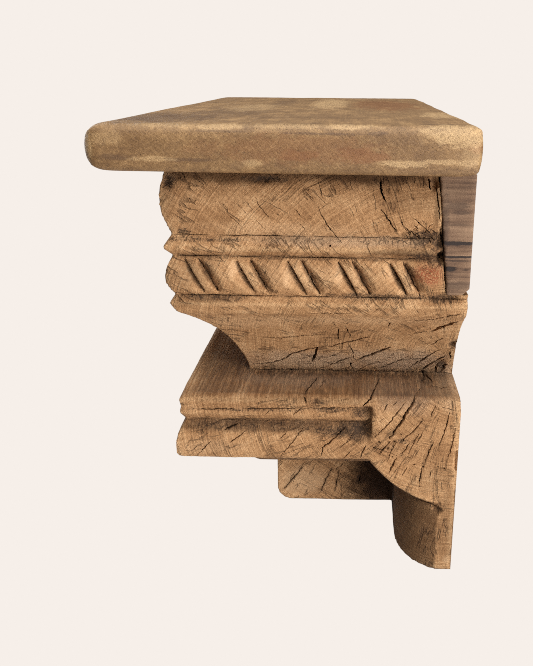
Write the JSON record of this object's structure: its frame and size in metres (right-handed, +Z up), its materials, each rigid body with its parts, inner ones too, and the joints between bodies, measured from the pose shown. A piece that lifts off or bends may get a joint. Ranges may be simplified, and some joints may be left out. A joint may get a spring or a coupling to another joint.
{
  "type": "corbel wall shelf",
  "caption": "Wall shelf: a thick worn board on half of an old carved timber capital, with returned mouldings, a gouged rope roll, a deep cavetto, square bosses and round pendants.",
  "frame": {"origin": "on the wall plane, in the middle of the batten's back face, 44 mm below the board's underside", "axes": "+X runs along the wall, +Y points into the wall and -Y is the front, +Z is up"},
  "size_m": [0.441, 0.2525, 0.3442],
  "materials": {
    "shelf_wood": "worn, waxed brown",
    "corbel_wood": "old, dry and checked",
    "batten_wood": "smooth, stained brown"
  },
  "bodies": {
    "root": {"shelf_board": "shelf_wood", "corbel_block": "corbel_wood", "back_batten": "batten_wood"}
  },
  "joints": []
}
